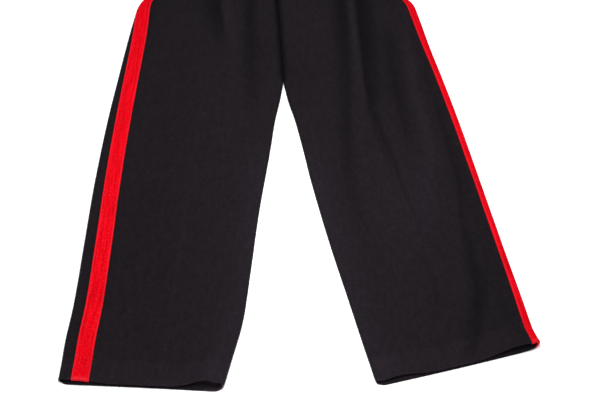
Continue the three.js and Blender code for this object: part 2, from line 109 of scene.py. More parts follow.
# Each leg has its outlines, the radii of its rolled edges and the runs from them to its level
# top, its seams' places round the cloth, and its mouths: how high and how far back the upper
# layer lies, how far up that reaches, and where its crest is. A fold is a line down the leg
# with its depth, less than none for a ridge, and its half widths towards and away from the
# centre.
RIGHT_LEG = SimpleNamespace(
    name="right",
    sign=-1,
    hem=SimpleNamespace(inner=-720.5, outer=-693, bow=-0.8),
    outer=table(
        "y x",
        (-693, 351.5), (-650, 348), (-610, 345.3), (-530, 336.7), (-395, 327.5), (-250, 317.5),
        (-90, 302.5), (22, 289), (112, 278), (203, 265.5), (248, 256), (271, 245), (300, 235),
    ),
    inner=table(
        "y x",
        (-720.5, 118.2), (-660, 103.8), (-584, 86.2), (-480, 72), (-340, 54), (-188, 30.5),
        (-107, 19), (-50, 8), (0, 0),
    ),
    heights=table(
        "y inner_roll outer_roll inner_run outer_run level",
        (-719, 7.5, 4.2, 50, 45, 5.8),
        (-600, 6, 4.6, 50, 45, 4.8),
        (-400, 4.6, 4.6, 55, 50, 4.6),
        (-200, 4.6, 5, 60, 60, 5.6),
        (-60, 5.5, 5.5, 60, 70, 8.2),
        (0, 6, 6, 50, 70, 9.4),
        (120, 6, 6.5, 50, 70, 11),
        (262, 6, 7, 50, 70, 12),
        (300, 6, 7, 50, 70, 12),
    ),
    outer_lift=0,
    seams=table(
        "y outseam inseam",
        (-719, 34, 32), (-400, 33, 20), (-180, 31, 8), (0, 28, 0),
        (168, 22.5, 0), (262, 12, 0), (300, 10, 0),
    ),
    mouths=(
        SimpleNamespace(side="inner", crest=31, half=27, lift=5, reach=190, back=6),
        SimpleNamespace(side="outer", crest=30, half=26, lift=2, reach=120, back=3),
    ),
    folds=(
        # short fold out of the waist: a ridge that drops outward and levels off slowly
        table(
            "y x depth near far",
            (75, 100, 0, 6, 20), (140, 104, 2, 6, 22), (190, 108, 4.2, 5, 24), (235, 111, 5.4, 5, 24),
            (290, 112, 5, 5, 24),
        ),
        table(
            "y x depth near far",
            (60, 84, 0, 10, 8), (120, 88, -1, 10, 8), (190, 93, -1.6, 10, 8), (290, 96, -1.6, 10, 8),
        ),
        # trough beside the fly
        table(
            "y x depth near far",
            (-120, 60, 0, 12, 12), (-40, 58, 1.6, 12, 12), (97, 56, 3, 12, 12), (190, 54, 4, 12, 10),
            (290, 50, 4, 12, 10),
        ),
        # the pressed front crease, nearly worn out, and a dent above the hem
        table(
            "y x depth near far",
            (-719, 207, -0.6, 4, 4), (-607, 198, -0.6, 4, 4), (-389, 176, -0.5, 4, 4),
            (-210, 159, -0.6, 4, 4), (-75, 146, -0.5, 4, 4), (60, 122, 0, 4, 4),
        ),
        table(
            "y x depth near far",
            (-690, 201, 0, 4, 4), (-668, 199, 1.3, 3, 4), (-650, 197, 0, 4, 4),
        ),
    ),
    # patches painted darker into the cloth's tone
    painted_patches=(
        SimpleNamespace(x=200, y=0, width=90, height=320, tone=-0.2),
        SimpleNamespace(x=240, y=-430, width=90, height=240, tone=-0.26),
        SimpleNamespace(x=36, y=90, width=30, height=110, tone=-0.28),
    ),
)

LEFT_LEG = SimpleNamespace(
    name="left",
    sign=1,
    hem=SimpleNamespace(inner=-722.5, outer=-660, bow=1.2),
    outer=table(
        "y x",
        (-660, 341), (-643, 337.5), (-627, 334), (-564, 328.5), (-430, 316.2), (-284, 303.6), (-124, 289.2),
        (-9, 276.8), (82, 266), (175, 257), (220, 251), (245, 239), (300, 224),
    ),
    inner=table(
        "y x",
        (-722.5, 98.4), (-634, 84.4), (-550, 71.7), (-415, 51), (-269, 32), (-191, 24),
        (-109, 14.5), (-50, 5), (0, 0),
    ),
    heights=table(
        "y inner_roll outer_roll inner_run outer_run level",
        (-720, 4.2, 6, 50, 80, 5.8),
        (-600, 4.4, 6, 50, 95, 5),
        (-400, 4.8, 6, 60, 90, 5.2),
        (-200, 5, 6, 70, 80, 6.4),
        (-60, 5.6, 6.2, 60, 80, 8.8),
        (0, 6, 6.5, 50, 80, 10),
        (120, 6, 6.5, 50, 70, 11.5),
        (262, 6, 7, 50, 70, 12),
        (300, 6, 7, 50, 70, 12),
    ),
    outer_lift=1.5,  # the stripe passes under this edge
    seams=table(
        "y outseam inseam",
        (-722, 3.4, 0), (-650, 2.2, 0), (-560, 1.2, 0), (-400, 1, 0), (-100, 2.2, 0), (60, 3.4, 0),
        (175, 6, 0), (300, 7.6, 0),
    ),
    mouths=(
        SimpleNamespace(side="inner", crest=40, half=30, lift=2.8, reach=120, back=5),
        SimpleNamespace(side="outer", crest=42, half=36, lift=2.6, reach=130, back=4),
    ),
    folds=(
        # deep fold from the waist down the thigh: a ridge that drops outward and levels off slowly
        table(
            "y x depth near far",
            (-279, 171, 0.6, 5, 10), (-193, 158, 1.4, 5, 12), (-99, 146, 3, 4.5, 14),
            (-34, 146, 5, 4.5, 18), (86, 148, 6.6, 5, 22), (200, 150, 7, 5, 22), (290, 150, 7, 5, 20),
        ),
        table(
            "y x depth near far",
            (-60, 132, 0, 7, 6), (20, 134, -1, 7, 6), (120, 135, -1.6, 7, 6), (290, 136, -1.6, 7, 6),
        ),
        # the sharp crease that it thins to at the knee
        table(
            "y x depth near far",
            (-440, 203, 0, 2, 5), (-361, 190, 1.3, 2, 6), (-279, 177, 1.9, 2, 6), (-193, 164, 2, 2.2, 6),
            (-99, 151, 1.4, 2.4, 5), (0, 149, 0, 3, 5),
        ),
        # trough beside it, nearer the centre
        table(
            "y x depth near far",
            (-473, 110, 0, 12, 8), (-325, 102, 1.6, 14, 8), (-242, 98, 2.4, 14, 8), (36, 113, 4, 18, 8),
            (160, 119, 5, 18, 7), (290, 121, 5, 18, 7),
        ),
        # trough on the outer thigh
        table(
            "y x depth near far",
            (-215, 198, 0, 10, 12), (-150, 200, 2, 8, 12), (-65, 198, 2.6, 8, 14), (110, 196, 2.4, 12, 16),
            (190, 200, 0, 14, 14),
        ),
        # the ridge beyond it
        table(
            "y x depth near far",
            (-430, 205, 0, 14, 16), (-333, 213, -1, 18, 18), (-207, 234, -1.6, 14, 12),
            (-61, 226, -2, 11, 12), (94, 228, -2, 11, 12), (290, 234, -2, 11, 12),
        ),
        # crease beside the outer fold that opens into a wide trough on the lower leg
        table(
            "y x depth near far",
            (-700, 238, 0, 12, 8), (-671, 242, 1.8, 12, 8), (-619, 255, 2.8, 12, 9), (-545, 270, 4, 12, 10),
            (-475, 268, 3.4, 10, 10), (-382, 264, 2, 5, 8), (-292, 270, 1.8, 4, 7), (-180, 264, 1.8, 4, 7),
            (-40, 253, 0, 5, 7),
        ),
        # small creases below the knee
        table(
            "y x depth near far",
            (-500, 207, 0, 2.5, 5), (-487, 202, 1.2, 2.5, 5), (-462, 188, 1.1, 2.5, 5),
            (-435, 172, 0, 2.5, 5),
        ),
        table(
            "y x depth near far",
            (-625, 192, 0, 5, 6), (-559, 203, 1.4, 4, 6), (-520, 204, 1.2, 4, 6), (-490, 203, 0, 5, 6),
        ),
    ),
    # patches painted into the cloth's tone: a painted highlight on the knee, the others darker
    painted_patches=(
        SimpleNamespace(x=170, y=-330, width=55, height=130, tone=0.26),
        SimpleNamespace(x=275, y=-620, width=40, height=90, tone=-0.2),
        SimpleNamespace(x=20, y=20, width=50, height=90, tone=-0.28),
        SimpleNamespace(x=186, y=-30, width=18, height=60, tone=-0.26),
    ),
)

LEGS = (RIGHT_LEG, LEFT_LEG)


# ---------------------------------------------------------------- camera, light, floor

def linear(hex_colour):
    """An sRGB hex colour as linear red, green, blue and alpha."""
    channels = [int(hex_colour[i:i + 2], 16) / 255 for i in (1, 3, 5)]
    return [c / 12.92 if c <= 0.04045 else ((c + 0.055) / 1.055) ** 2.4 for c in channels] + [1.0]


def place(name, data):
    thing = bpy.data.objects.new(name, data)
    bpy.context.scene.collection.objects.link(thing)
    return thing


def add_camera():
    """A person's eye height, standing at the hems and looking down at the trousers."""
    camera = bpy.data.cameras.new("camera")
    camera.sensor_width = 36
    camera.lens = 96
    eye = place("camera", camera)
    eye.location = (-0.08876, -2.05227, 1.6725)
    eye.rotation_euler = (math.radians(49), 0, math.radians(-3.0991))
    bpy.context.scene.camera = eye


def add_softbox(name, location, size, power, aim=(0, 0, 0)):
    light = bpy.data.lights.new(name, "AREA")
    light.shape = "RECTANGLE"
    light.size, light.size_y = size
    light.energy = power
    lamp = place(name, light)
    lamp.location = location
    lamp.visible_camera = False
    direction = lamp.location.copy()
    direction.x, direction.y, direction.z = (a - b for a, b in zip(location, aim))
    lamp.rotation_euler = direction.to_track_quat("Z", "Y").to_euler()


add_camera()
add_softbox("strip_softbox", (0.0, -0.1, 0.85), (0.12, 1.4), 15, aim=(0, -0.1, 0))
bpy.context.scene.view_settings.view_transform = "Standard"


# ---------------------------------------------------------------- curves

def along(rows, column, y):
    """A table's column at y, along a smooth curve through its rows."""
    ys, values = rows["y"], rows[column]
    last = len(ys) - 1
    y = np.clip(y, ys[0], ys[-1])
    i = np.clip(np.searchsorted(ys, y) - 1, 0, last - 1)
    before, after = np.maximum(i - 1, 0), np.minimum(i + 2, last)
    span = ys[i + 1] - ys[i]
    start = span * (values[i + 1] - values[before]) / (ys[i + 1] - ys[before])
    end = span * (values[after] - values[i]) / (ys[after] - ys[i])
    t = (y - ys[i]) / span
    t2, t3 = t * t, t * t * t
    return (
        (2 * t3 - 3 * t2 + 1) * values[i] + (t3 - 2 * t2 + t) * start
        + (3 * t2 - 2 * t3) * values[i + 1] + (t3 - t2) * end
    )


def rise(t):
    """0 to 1 with level ends."""
    s = np.clip(t, 0, 1)
    return s * s * (3 - 2 * s)


def fade(t):
    return 1 - rise(t)


def bell(distance, width):
    return np.exp(-((distance / width) ** 2))


def curl(length, angle, steps):
    """Cloth that leaves the level and turns evenly through an angle: its runs and heights."""
    headings = angle * (np.arange(steps) + 0.5) / steps
    step = length / steps
    runs = np.concatenate([[0], np.cumsum(step * np.cos(headings))])
    heights = np.concatenate([[0], np.cumsum(step * np.sin(headings))])
    return runs, heights


def waviness(x, y, cell, seed):
    """Smooth random heights from about -1 to 1, in waves of a size in mm, the same each run."""
    cells, corner, gain = 128, -1200, 1.8
    grid = np.random.default_rng(seed).uniform(-1, 1, (cells, cells))

    def weights(t):
        return (
            (1 - t) ** 3 / 6,
            (3 * t**3 - 6 * t**2 + 4) / 6,
            (-3 * t**3 + 3 * t**2 + 3 * t + 1) / 6,
            t**3 / 6,
        )

    u, v = (x - corner) / cell, (y - corner) / cell
    i, j = np.floor(u).astype(int), np.floor(v).astype(int)
    height = 0
    for a, across in enumerate(weights(u - i)):
        for b, up in enumerate(weights(v - j)):
            height = height + across * up * grid[(i + a) % cells, (j + b) % cells]
    return gain * height


# ---------------------------------------------------------------- sections

def leg_row(leg, y):
    """The sizes of a section across one half of the garment; y is its height at the inner fold."""
    row = SimpleNamespace(leg=leg, y=y, from_hem=y - leg.hem.inner)
    outer_y = y * leg.hem.outer / leg.hem.inner if y < 0 else y
    row.inner = (along(leg.inner, "x", y), y)
    row.outer = (along(leg.outer, "x", outer_y), outer_y)
    row.width = math.hypot(row.outer[0] - row.inner[0], row.outer[1] - row.inner[1])
    for size in ("inner_roll", "outer_roll", "inner_run", "outer_run", "level"):
        setattr(row, size, along(leg.heights, size, y))
    leg_wall = HEM.wall + (CLOTH - HEM.wall) * rise((row.from_hem - HEM.depth) / HEM.step)
    row.wall = BAND.wall if y > BAND.seam else leg_wall
    row.front_turn = math.pi / 2 * fade((y - CENTRE.front_flat_from) / (BAND.seam - CENTRE.front_flat_from))
    row.back_turn = math.pi / 2 * fade(y / CENTRE.back_flat_at)
    row.curl_length = row.inner_roll * math.pi / 2
    row.outseam = along(leg.seams, "outseam", y)
    row.inseam = along(leg.seams, "inseam", y)
    return row


def on_row(row, distance):
    """x and y of the row's line at a distance from its inner end."""
    share = distance / row.width
    x = row.inner[0] + (row.outer[0] - row.inner[0]) * share
    y = row.inner[1] + (row.outer[1] - row.inner[1]) * share
    hem = row.leg.hem
    bow = hem.bow * np.sin(math.pi * np.clip(share, 0, 1)) * fade(row.from_hem / HEM.bow_reach)
    corners = bell(distance, 1.5 * HEM.corner) + bell(row.width - distance, 1.5 * HEM.corner)
    return x, y - bow + HEM.corner * corners * fade(row.from_hem / (3 * HEM.corner))


def near_mouths(row, distance):
    """Each open mouth of a leg, with how near a place is to its crest, from 0 to 1."""
    for mouth in row.leg.mouths:
        from_side = distance if mouth.side == "inner" else row.width - distance
        yield mouth, bell(from_side - mouth.crest, mouth.half)


def top_height(row, distance, inner_edge):
    """Height of the upper layer's outside."""
    leg = row.leg
    outer_edge = row.width - row.outer_roll
    outer_top = leg.outer_lift + 2 * row.outer_roll
    inner_top = 2 * row.inner_roll
    window = rise((distance - inner_edge) / EDGE_WINDOW) * rise((outer_edge - distance) / EDGE_WINDOW)
    z = (
        row.level
        + (outer_top - row.level) * fade((outer_edge - distance) / row.outer_run)
        + (inner_top - row.level) * fade((distance - inner_edge) / row.inner_run)
    )
    for mouth, near in near_mouths(row, distance):
        z = z + window * mouth.lift * near * fade(row.from_hem / mouth.reach)
    x, y = on_row(row, distance)
    z = z - window * fold_drop(leg, x, y)
    soft = sum(height * waviness(leg.sign * x, y, size, seed) for height, size, seed in WAVES)
    z = z + window * soft * fade((y - WAVES_END.y) / WAVES_END.run)
    lowest = 2 * row.wall + REST_GAP
    z = (z + lowest + np.sqrt((z - lowest) ** 2 + SOFT_BEND**2)) / 2
    return z + fly_lap(row, distance)


def fold_drop(leg, x, y):
    """How far the folds lower the cloth, in mm; a ridge counts as less than none."""
    drop = 0
    for fold in leg.folds:
        depth = np.where((y < fold["y"][0]) | (y > fold["y"][-1]), 0, along(fold, "depth", y))
        outward = x - along(fold, "x", y)
        width = np.where(outward < 0, along(fold, "near", y), along(fold, "far", y))
        drop = drop + depth * bell(outward, width)
    return drop


def painted_light_and_shade(cut, places):
    """Painted light and shade, in doublings of the cloth's tone: painted light along the lower legs'
    inner edges, on ridges and at the hem, a painted highlight on the hem's turned edge, painted shade in the
    folds' hollows, beside the outer fold, just inside the hem's edge below and in the centre seams' groove,
    and patches painted paler or darker."""
    row = cut.row
    distance = np.interp(places, cut.arc, cut.distance)
    on_top = np.interp(places, cut.arc, np.where(cut.below, 0.0, 1.0))
    x, y = on_row(row, distance)
    # painted shade in the folds' hollows, painted light on the ridges
    drop = np.clip(fold_drop(row.leg, x, y), -PAINTED_SHADING.ridge_most, PAINTED_SHADING.hollow_most)
    tone_and_painted_light = -PAINTED_SHADING.fold * drop * on_top
    # painted light along the lower legs' inner edges
    tone_and_painted_light = tone_and_painted_light + PAINTED_SHADING.painted_lighter * bell(distance, PAINTED_SHADING.lighter_half) * fade((row.y - PAINTED_SHADING.lighter_from) / PAINTED_SHADING.lighter_run)
    # patches painted paler or darker; the paler knee is a painted highlight
    for patch in row.leg.painted_patches:
        tone_and_painted_light = tone_and_painted_light + patch.tone * bell(x - patch.x, patch.width) * bell(y - patch.y, patch.height)
    # painted light along the hem
    tone_and_painted_light = tone_and_painted_light + PAINTED_SHADING.hem * fade((row.from_hem - PAINTED_SHADING.hem_top) / PAINTED_SHADING.hem_run)
    # painted shade beside the outer fold
    tone_and_painted_light = tone_and_painted_light - PAINTED_SHADING.shade * bell(row.width - distance - PAINTED_SHADING.shade_at, PAINTED_SHADING.shade_half) * on_top
    # a painted highlight on the hem's turned edge, painted shade on the lower layer just inside it
    edge = PAINTED_SHADING.edge * bell(row.from_hem, PAINTED_SHADING.edge_half)
    tone_and_painted_light = tone_and_painted_light + edge * on_top - PAINTED_SHADING.edge_inside * bell(row.from_hem, PAINTED_SHADING.edge_inside_half) * (1 - on_top)
    # painted shade in the groove of the centre seams
    above_crotch = rise((row.y - PAINTED_SHADING.centre_from) / PAINTED_SHADING.centre_run)
    return tone_and_painted_light - PAINTED_SHADING.centre * bell(distance, PAINTED_SHADING.centre_half) * above_crotch


def wrong_side(row):
    """How much paler the wrong side is: its own paler tone and painted light in the shaded mouths of the
    hems.
    """
    return WRONG_SIDE.least + WRONG_SIDE.more * rise((row.from_hem - WRONG_SIDE.start) / WRONG_SIDE.run)


def fly_lap(row, distance):
    """The wearer's left half climbs over the right at the fly and the waistband's end."""
    if row.leg.sign < 0:
        return 0
    climbed = rise((row.y - LAP.start) / (BAND.seam - LAP.start))
    return LAP.height * fade((distance - LAP.flat) / LAP.run) * climbed


def section(leg, y, extra=0):
    """The outside of the cloth across one half, from the inner end of the lower layer round
    the outer fold to the inner end of the upper layer."""
    row = leg_row(leg, y)
    back_run, back_height = curl(row.curl_length, row.back_turn, STEPS.curl)
    front_run, front_height = curl(row.curl_length, row.front_turn, STEPS.curl)
    back_edge, front_edge = back_run[-1], front_run[-1]
    outer_edge = row.width - row.outer_roll
    floor = np.linspace(back_edge, outer_edge, STEPS.floor + 1)[1:-1]
    angle = np.linspace(0, math.pi, STEPS.fold + 1)
    top = np.linspace(outer_edge, front_edge, STEPS.top + 1)[1:]
    top_z = top_height(row, top, front_edge)
    end_run = [-extra] if extra else []
    end_z = [top_z[-1]] if extra else []
    distance = np.concatenate([
        back_edge - back_run[::-1], floor, outer_edge + row.outer_roll * np.sin(angle),
        top, front_edge - front_run[1:], end_run,
    ])
    z = np.concatenate([
        back_height[::-1], leg.outer_lift * fade((outer_edge - floor) / LIFT_RUN),
        leg.outer_lift + row.outer_roll * (1 - np.cos(angle)),
        top_z, top_z[-1] - front_height[1:], end_z,
    ])
    outermost = len(back_run) + len(floor) + STEPS.fold // 2
    across, up = np.gradient(distance), np.gradient(z)
    normal_x, normal_z = up, -across
    normal_x[0], normal_z[0] = -math.sin(row.back_turn), -math.cos(row.back_turn)
    if not extra:
        normal_x[-1], normal_z[-1] = -math.sin(row.front_turn), math.cos(row.front_turn)
    arc = np.concatenate([[0], np.cumsum(np.hypot(np.diff(distance), np.diff(z)))])
    size = np.hypot(normal_x, normal_z)
    return SimpleNamespace(
        row=row, distance=distance, z=z, arc=arc, length=arc[-1], outermost=outermost,
        normal_x=normal_x / size, normal_z=normal_z / size,
        below=np.arange(len(arc)) < outermost,
        outseam=arc[outermost] + row.outseam, inseam=row.inseam,
    )


def set_back(row, distance):
    """How far the upper layer's hem lies back from the lower layer's, most at the mouths."""
    back = HEM.back
    for mouth, near in near_mouths(row, distance):
        back = back + mouth.back * near
    return back * fade(row.from_hem / HEM.back_reach)


def on_section(cut, places, out):
    """Points at distances round the cloth, moved out along its normal, in the row frame's metres."""
    row = cut.row
    places = np.where((places > cut.length) & (row.y <= 0), places - cut.length, places)
    i = np.clip(np.searchsorted(cut.arc, places), 1, len(cut.arc) - 1)
    t = np.clip((places - cut.arc[i - 1]) / (cut.arc[i] - cut.arc[i - 1]), 0, 1)

    def between(values):
        return values[i - 1] + (values[i] - values[i - 1]) * t

    normal_x, normal_z = between(cut.normal_x), between(cut.normal_z)
    size = np.hypot(normal_x, normal_z)
    distance = between(cut.distance) + out * normal_x / size
    z = between(cut.z) + out * normal_z / size
    x, y = on_row(row, distance)
    y = y + set_back(row, distance) * rise((places - cut.arc[cut.outermost]) / EDGE_RUN)
    higher = BACK_RISE.height * rise((row.y - BACK_RISE.start) / BACK_RISE.run)
    raised = np.where(cut.below[i - 1], higher * (1 - distance / row.width), 0)
    return np.stack([row.leg.sign * x + CROTCH[0], y + raised + CROTCH[1], z], axis=-1) * MM


# ---------------------------------------------------------------- walls of cloth

def turned_edge(y, wall, towards):
    """Stations round a turned edge at y: height, outer and inner distance out. The cloth's
    flat part ends half a wall before it, on the side that towards points away from."""
    radius = wall / 2
    stations = []
    for angle in np.radians((0, 36, 72)):
        height = y - towards * radius * (1 - math.sin(angle))
        stations.append((height, -radius * (1 - math.cos(angle)), -radius * (1 + math.cos(angle))))
    return stations


def wall_grids(leg, stations, places_of, relief=None, extra=0):
    """Outer and inner grids of points and their flat places (round the cloth, along it)."""
    outer, inner, flat, tone_and_painted_light = [], [], [], []
    for y, out, under in stations:
        cut = section(leg, y, extra)
        places = places_of(cut)
        raised = relief(cut, places) if relief else 0
        outer.append(on_section(cut, places, out + raised))
        inner.append(on_section(cut, places, under + raised))
        flat.append(np.stack([places - cut.outseam, np.full_like(places, y)], axis=-1) * MM)
        # painted light and shade; the wrong side adds its paler tone and painted light in the hems' mouths
        shaded_tone = painted_light_and_shade(cut, places)
        tone_and_painted_light.append([shaded_tone, shaded_tone + wrong_side(cut.row)])
    return np.array(outer), np.array(inner), np.array(flat), np.array(tone_and_painted_light)


def closed_wall(name, outer, inner, flat, tone_and_painted_light, material):
    """A closed mesh between an outer and an inner grid, with the cloth's flat places as UVs
    and each side's painted light and shade on its points."""
    rows, columns = outer.shape[:2]
    numbers = np.arange(rows * columns).reshape(rows, columns)
    under = numbers + rows * columns

    def quads(a, b, c, d):
        return np.stack([part.ravel() for part in (a, b, c, d)], axis=-1)

    faces = np.concatenate([
        quads(numbers[:-1, :-1], numbers[:-1, 1:], numbers[1:, 1:], numbers[1:, :-1]),
        quads(under[:-1, :-1], under[1:, :-1], under[1:, 1:], under[:-1, 1:]),
        quads(numbers[0, :-1], under[0, :-1], under[0, 1:], numbers[0, 1:]),
        quads(numbers[-1, :-1], numbers[-1, 1:], under[-1, 1:], under[-1, :-1]),
        quads(numbers[:-1, 0], numbers[1:, 0], under[1:, 0], under[:-1, 0]),
        quads(numbers[:-1, -1], under[:-1, -1], under[1:, -1], numbers[1:, -1]),
    ])
    points = np.concatenate([outer.reshape(-1, 3), inner.reshape(-1, 3)])
    a, b, c, d = (points[faces[:, k]] for k in range(4))
    volume = np.einsum("ij,ij->", a, np.cross(b, c)) + np.einsum("ij,ij->", a, np.cross(c, d))
    if volume < 0:
        faces = faces[:, ::-1]
    mesh = bpy.data.meshes.new(name)
    mesh.from_pydata(points.tolist(), [], faces.tolist())
    mesh.shade_smooth()
    uv = np.concatenate([flat.reshape(-1, 2)] * 2)
    layer = mesh.uv_layers.new(name="cloth")
    layer.data.foreach_set("uv", uv[faces.ravel()].ravel())
    shaded_tone = mesh.attributes.new("tone_and_painted_light", "FLOAT", "POINT")
    shaded_tone.data.foreach_set("value", tone_and_painted_light.swapaxes(0, 1).ravel())
    mesh.materials.append(material)
    return place(name, mesh)


# A panel's columns close to a seam, and its rows above the hem's edge and from there up
NEAR_SEAM = np.array([SEAM_GAP / 2, 0.7, 1.5, 2.7, 4.4, 6.6, 9.2])
HEM_ROWS = np.array([3, 6, 10, 15, 20, 25, 30, 35, 39, 42, 43.5, 45, 46.5, 48, 50, 53, 57])
ROW_SPACING = 5
FRONT_COLUMNS = 142
# The back is finest where it shows, beside the outseam, and at its inner end
BACK_COLUMNS = SimpleNamespace(near=24, middle=31, far=11, near_run=62, far_run=40)


def panel_stations(leg):
    """Rows of a leg panel from the waist seam down, then round the hem's turned edge."""
    hem = leg.hem.inner
    edge = turned_edge(hem, HEM.wall, towards=-1)
    low = hem + HEM_ROWS
    count = round((BAND.seam - low[-1]) / ROW_SPACING)
    high = np.linspace(low[-1], BAND.seam - SEAM_GAP / 2, count + 1)[1:]
    heights = np.concatenate([low, high])[::-1]
    return [(y, 0, -leg_row(leg, y).wall) for y in heights] + edge


def hem_and_seams(length, stitch_from):
    """Relief of a panel: its seams dip, and the hem's own thickness and its blind stitches
    show through on the upper layer. The inseam's dip ends at the crotch."""
    def relief(cut, places):
        from_hem = cut.row.from_hem
        start = places - cut.outseam
        inseam_dip = bell(length(cut) - np.abs(start), SEAM_DIP.half) * fade((cut.row.y + 30) / 25)
        at_seams = bell(start, SEAM_DIP.half) + inseam_dip
        prick = BLIND_STITCH
        along_hem = (start + stitch_from) % prick.pitch - prick.pitch / 2
        pricks = bell(along_hem, prick.half_length) * bell(from_hem - prick.up, prick.half_height)
        round_leg = places % cut.length
        past_fold = rise((round_leg - cut.arc[cut.outermost]) / EDGE_RUN)
        on_top = past_fold * rise((cut.length - round_leg) / EDGE_RUN)
        ridge = HEM.ridge * on_top * fade((from_hem - HEM.ridge_top) / HEM.ridge_run)
        return -SEAM_DIP.depth * at_seams + ridge - prick.depth * pricks
    return relief


def front_panel(leg, material):
    def length(cut):
        return cut.length + cut.inseam - cut.outseam

    def places(cut):
        size = length(cut)
        middle = np.linspace(NEAR_SEAM[-1], size - NEAR_SEAM[-1], FRONT_COLUMNS + 1)[1:-1]
        return cut.outseam + np.concatenate([NEAR_SEAM, middle, (size - NEAR_SEAM)[::-1]])

    grids = wall_grids(leg, panel_stations(leg), places, hem_and_seams(length, stitch_from=1.5))
    return closed_wall(f"front_{leg.name}_cloth", *grids, material)


def back_panel(leg, material):
    def length(cut):
        return cut.outseam - cut.inseam

    def places(cut):
        size = length(cut)
        shown, inner = BACK_COLUMNS.near_run, size - BACK_COLUMNS.far_run
        near = np.linspace(NEAR_SEAM[-1], shown, BACK_COLUMNS.near + 1)[1:]
        middle = np.linspace(shown, inner, BACK_COLUMNS.middle + 1)[1:]
        far = np.linspace(inner, size - NEAR_SEAM[-1], BACK_COLUMNS.far + 1)[1:-1]
        return cut.outseam - np.concatenate([NEAR_SEAM, near, middle, far, (size - NEAR_SEAM)[::-1]])

    grids = wall_grids(leg, panel_stations(leg), places, hem_and_seams(length, stitch_from=4))
    return closed_wall(f"back_{leg.name}_cloth", *grids, material)


# The stripe's columns, from its middle to its folded edge: it is 25.4 mm wide
STRIPE_COLUMNS = np.array([0, 1.5, 3, 4.5, 6, 7.5, 8.8, 9.6, 10.2, 10.6, 11, 11.4, 11.8, 12.15, 12.45, 12.7])
STRIPE_STITCH = 10.9
STRIPE_ROWS = 2.6
STRIPE_END = SimpleNamespace(painted_lighter=0.55, up=2.3, half=1.3)  # a painted highlight along its hem end


def side_stripe(leg, material):
    """A strip with both edges folded under, sewn down close to each, that turns into the hem."""
    columns = np.concatenate([-STRIPE_COLUMNS[:0:-1], STRIPE_COLUMNS])

    def relief(cut, places):
        across = np.abs(columns)
        puckers = 0.1 * waviness(columns * 2, np.full_like(columns, cut.row.y), 7, seed=21)
        crest = 0.12 * bell(across - 11.9, 0.6)
        sewn_down = 0.22 * bell(across - STRIPE_STITCH, 0.5)
        folded_under = 0.35 * rise((across - 12.1) / 0.6)
        return crest - sewn_down - folded_under + puckers * rise((across - 4) / 6)

    top, hem = BAND.seam - SEAM_GAP / 2, leg.hem.inner
    radius = HEM.wall / 2
    heights = np.linspace(top, hem + radius, round((top - hem) / STRIPE_ROWS))
    stations = [(y, STRIPE.gap + STRIPE.wall, STRIPE.gap) for y in heights]
    grids = wall_grids(leg, stations, lambda cut: cut.outseam + columns, relief)
    outer, inner, flat = (list(grid) for grid in grids[:3])
    # a painted highlight along the stripe's hem end
    highlighted = STRIPE_END.painted_lighter * bell(heights - hem - STRIPE_END.up, STRIPE_END.half)
    tone_and_painted_light = [np.full((2, len(columns)), amount) for amount in highlighted]
    for angle in np.radians((30, 60, 90, 120, 150)):
        for grid, lift in ((outer, STRIPE.gap + STRIPE.wall), (inner, STRIPE.gap)):
            reach = radius + lift
            cut = section(leg, hem + radius - reach * math.sin(angle))
            grid.append(on_section(cut, cut.outseam + columns, -radius + reach * math.cos(angle)))
        flat.append(flat[-1] - np.array([0, 1.1 * MM]))
        tone_and_painted_light.append(tone_and_painted_light[-1])
    grids = (np.array(grid) for grid in (outer, inner, flat, tone_and_painted_light))
    return closed_wall(f"side_stripe_{leg.name}_cloth", *grids, material)


BAND_ROWS = (0, 0.7, 1.6, 3, 6, 11, 17, 23, 29, 33, 35)
BAND_COLUMNS = 200
CENTRE_BACK_GAP = 0.02  # the two halves all but touch at the centre back


def waistband(leg, material):
    """One half of the band, from its end at the fly round to the centre back."""
    reach = BAND.underlap if leg.sign < 0 else BAND.overlap
    low = BAND.seam + SEAM_GAP / 2
    stations = [(low + up, 0, -BAND.wall) for up in BAND_ROWS]
    stations += turned_edge(BAND.top, BAND.wall, towards=1)

    def places(cut):
        middle = np.linspace(NEAR_SEAM[-1], cut.length - NEAR_SEAM[-1], BAND_COLUMNS + 1)[1:-1]
        back = [*(cut.length - NEAR_SEAM)[:0:-1], cut.length - CENTRE_BACK_GAP]
        return cut.length - np.concatenate([NEAR_SEAM, middle, back])

    def relief(cut, places):
        ends = bell(cut.length - places, 0.8) + bell(places, 0.8)
        return -0.4 * bell(cut.row.y - low, 1.2) - 0.4 * ends

    grids = wall_grids(leg, stations, places, relief, reach)
    return closed_wall(f"waistband_{leg.name}_cloth", *grids, material)


def fly_underlap(material):
    """The strip behind the fly's edges that carries its fastening."""
    columns = np.linspace(-FLY.tuck, FLY.width, 15)
    outer = []
    for y in np.linspace(FLY.bottom, BAND.seam - SEAM_GAP / 2, 40):
        row = leg_row(RIGHT_LEG, y)
        edge = curl(row.curl_length, row.front_turn, STEPS.curl)[1][-1]
        under = 2 * row.inner_roll - edge - CLOTH * math.cos(row.front_turn) - SEAM_GAP
        outer.append([((x + CROTCH[0]) * MM, (y + CROTCH[1]) * MM, under * MM) for x in columns])
    outer = np.array(outer)
    inner = outer - np.array([0, 0, CLOTH * MM])
    tone_and_painted_light = np.zeros((len(outer), 2, len(columns)))
    return closed_wall("fly_underlap_cloth", outer, inner, outer[:, :, :2], tone_and_painted_light, material)


# ---------------------------------------------------------------- materials

def find_socket(sockets, key):
    """A socket by its number, its identifier or its name."""
    if isinstance(key, int):
        return sockets[key]
    return next(socket for socket in sockets if key in (socket.identifier, socket.name))


